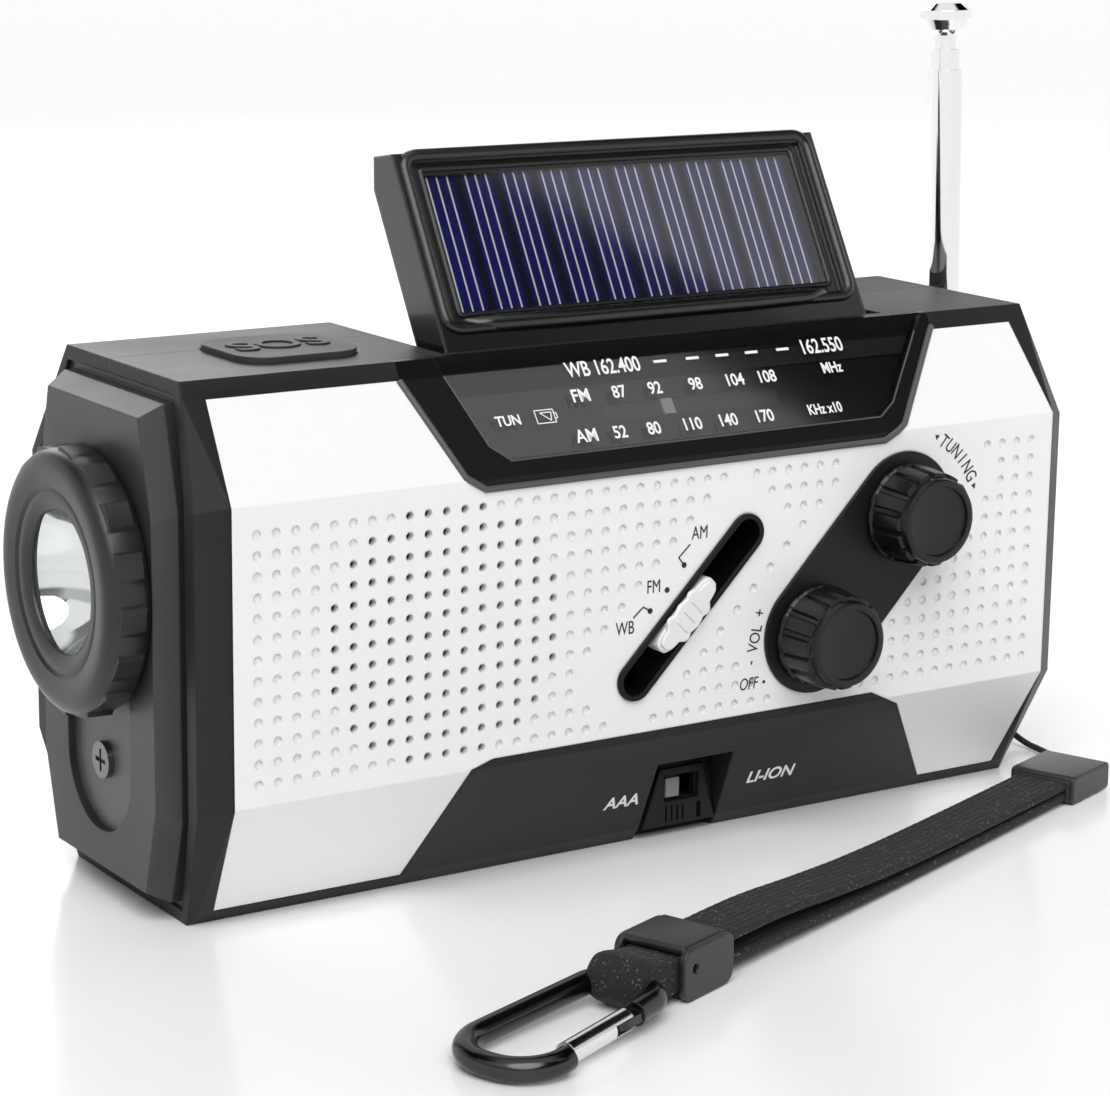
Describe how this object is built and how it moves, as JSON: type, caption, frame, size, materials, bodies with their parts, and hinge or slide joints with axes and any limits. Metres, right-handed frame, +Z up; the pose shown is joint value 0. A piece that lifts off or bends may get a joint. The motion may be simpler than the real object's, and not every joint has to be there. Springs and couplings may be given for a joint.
{
  "type": "emergency radio",
  "caption": "Portable emergency radio with folding solar lid, torch end, hand crank, dial window, two knobs, whip aerial and a clip-on wrist strap.",
  "frame": {"origin": "middle of the radio's flat underside, where it stands", "axes": "+X to the listener's right along the case, with the torch at -X; +Y to the back, the dial and knobs facing -Y; +Z up"},
  "size_m": [0.1664, 0.1222, 0.1183],
  "materials": {
    "case_grey": "satin",
    "panel_white": "fine matt",
    "cap_grey": "satin",
    "gloss_black": "gloss",
    "clear_window": "clear",
    "dial_print": "matt with white print",
    "pointer_red": "satin",
    "knob_black": "satin",
    "slider_grey": "satin",
    "chrome": "polished",
    "steel": "plain",
    "cells_blue": "gloss",
    "board_green": "lacquered",
    "part_grey": "moulded",
    "ferrite": "ground",
    "copper": "enamelled wire",
    "cell_sleeve": "printed sleeve",
    "paper_cone": "pressed paper",
    "lamp_white": "translucent",
    "alarm_grey": "matt",
    "strap_black": "woven",
    "gunmetal": "anodised"
  },
  "bodies": {
    "case": {"front_shell": "case_grey", "front_panel": "panel_white", "rear_shell": "case_grey", "left_end_cap": "cap_grey", "right_end_cap": "cap_grey", "window_frame": "gloss_black", "dial_window": "clear_window", "dial_scale": "dial_print", "control_plate": "cap_grey", "slot_liner": "gloss_black", "bottom_bezel": "cap_grey", "source_switch_plate": "cap_grey", "lid_tray": "case_grey", "speaker_frame": "steel", "speaker_cone": "paper_cone", "main_board": "board_green", "tuning_capacitor": "part_grey", "volume_control": "part_grey", "band_switch": "part_grey", "ferrite_rod": "ferrite", "ferrite_coil": "copper", "lithium_cell": "cell_sleeve", "aaa_cells": "cell_sleeve", "battery_contacts": "steel", "generator": "steel", "case_screws": "steel", "lamp_reflector": "chrome", "lamp_led": "lamp_white", "tether_cord": "strap_black", "strap_end_cap": "knob_black", "strap_upper": "strap_black", "strap_lower": "strap_black", "strap_loop": "strap_black", "carabiner": "gunmetal"},
    "sos_button": {"sos_button": "alarm_grey"},
    "battery_cover": {"battery_cover": "case_grey"},
    "lamp_head": {"lamp_bezel": "cap_grey", "lamp_lens": "clear_window"},
    "lid": {"lid_frame": "cap_grey", "solar_cells": "cells_blue", "lid_glass": "clear_window", "lid_hinge_pin": "steel", "reading_lamp": "lamp_white"},
    "tuning": {"tuning_knob": "knob_black", "dial_drum": "part_grey"},
    "volume": {"volume_knob": "knob_black"},
    "pointer": {"pointer": "pointer_red"},
    "band_slider": {"band_slider": "slider_grey"},
    "source_slider": {"source_slider": "slider_grey"},
    "antenna_base": {"antenna_swivel": "chrome"},
    "antenna_outer": {"antenna_outer_tube": "chrome"},
    "antenna_middle": {"antenna_middle_tube": "chrome"},
    "antenna_top": {"antenna_rod": "chrome"},
    "crank": {"crank_arm": "cap_grey", "crank_gear": "part_grey"},
    "crank_knuckle": {"crank_knuckle": "steel"},
    "crank_grip": {"crank_grip": "cap_grey"},
    "generator_rotor": {"generator_gear": "part_grey"},
    "strap_slider": {"strap_slider": "knob_black"},
    "carabiner_gate": {"carabiner_gate": "steel"}
  },
  "joints": [
    {"name": "lid_hinge", "type": "hinge", "parent": "case", "child": "lid", "pos_m": [0.0083, -0.01057, 0.07052], "axis": [1, 0, 0], "range_deg": [-60, 30]},
    {"name": "lamp_turn", "type": "hinge", "parent": "case", "child": "lamp_head", "pos_m": [-0.0757, 0, 0.045], "axis": [-1, 0, 0], "range_deg": [0, 90]},
    {"name": "sos_press", "type": "slide", "parent": "case", "child": "sos_button", "axis": [0, 0, -1], "range_m": [0, 0.0008], "stiffness_N_per_m": 400, "springref_m": -0.0005},
    {"name": "battery_cover_pull", "type": "slide", "parent": "case", "child": "battery_cover", "axis": [0, 1, 0], "range_m": [0, 0.008]},
    {"name": "tuning_turn", "type": "hinge", "parent": "case", "child": "tuning", "pos_m": [0.0408, -0.033, 0.0469], "axis": [0, 1, 0], "range_deg": [-96, 177]},
    {"name": "pointer_slide", "type": "slide", "parent": "case", "child": "pointer", "axis": [1, 0, 0], "range_m": [-0.0102, 0.0186]},
    {"name": "volume_turn", "type": "hinge", "parent": "case", "child": "volume", "pos_m": [0.02497, -0.033, 0.0305], "axis": [0, 1, 0], "range_deg": [0, 300]},
    {"name": "band_slide", "type": "slide", "parent": "case", "child": "band_slider", "axis": [0.7021, 0, 0.7121], "range_m": [-0.0041, 0.0041]},
    {"name": "source_slide", "type": "slide", "parent": "case", "child": "source_slider", "axis": [1, 0, 0], "range_m": [0, 0.003]},
    {"name": "antenna_turn", "type": "hinge", "parent": "case", "child": "antenna_base", "pos_m": [0.0794, 0.0104, 0.06], "axis": [0, 0, 1], "range_deg": [-90, 90]},
    {"name": "antenna_tilt", "type": "hinge", "parent": "antenna_base", "child": "antenna_outer", "pos_m": [0.0794, 0.0104, 0.0655], "axis": [0, 1, 0], "range_deg": [0, 90]},
    {"name": "antenna_slide_middle", "type": "slide", "parent": "antenna_outer", "child": "antenna_middle", "axis": [-0.0349, 0, 0.9994], "range_m": [0, 0.034]},
    {"name": "antenna_slide_rod", "type": "slide", "parent": "antenna_middle", "child": "antenna_top", "axis": [-0.0349, 0, 0.9994], "range_m": [0, 0.034]},
    {"name": "crank_spin", "type": "hinge", "parent": "case", "child": "crank", "pos_m": [-0.028, 0.026, 0.042], "axis": [0, 1, 0], "continuous": true},
    {"name": "crank_fold", "type": "hinge", "parent": "crank", "child": "crank_knuckle", "pos_m": [0.002, 0.0293, 0.042], "axis": [0, 0, -1], "range_deg": [0, 90]},
    {"name": "grip_spin", "type": "hinge", "parent": "crank_knuckle", "child": "crank_grip", "pos_m": [-0.008, 0.0293, 0.042], "axis": [1, 0, 0], "continuous": true},
    {"name": "generator_spin", "type": "hinge", "parent": "case", "child": "generator_rotor", "pos_m": [-0.0105, 0.01, 0.042], "axis": [0, 1, 0], "continuous": true},
    {"name": "strap_slider_slide", "type": "slide", "parent": "case", "child": "strap_slider", "axis": [0.9352, 0.3541, 0], "range_m": [0, 0.012]},
    {"name": "gate_swing", "type": "hinge", "parent": "case", "child": "carabiner_gate", "pos_m": [-0.04509, -0.0821, 0.00266], "axis": [0.0457, 0.0173, -0.9988], "range_deg": [0, 25], "stiffness_Nm_per_rad": 0.004, "springref_deg": -14.32}
  ],
  "couplings": [
    {"joint": "pointer_slide", "follows": "tuning_turn", "m_per_rad": 0.00594},
    {"joint": "generator_spin", "follows": "crank_spin", "ratio": -4}
  ]
}
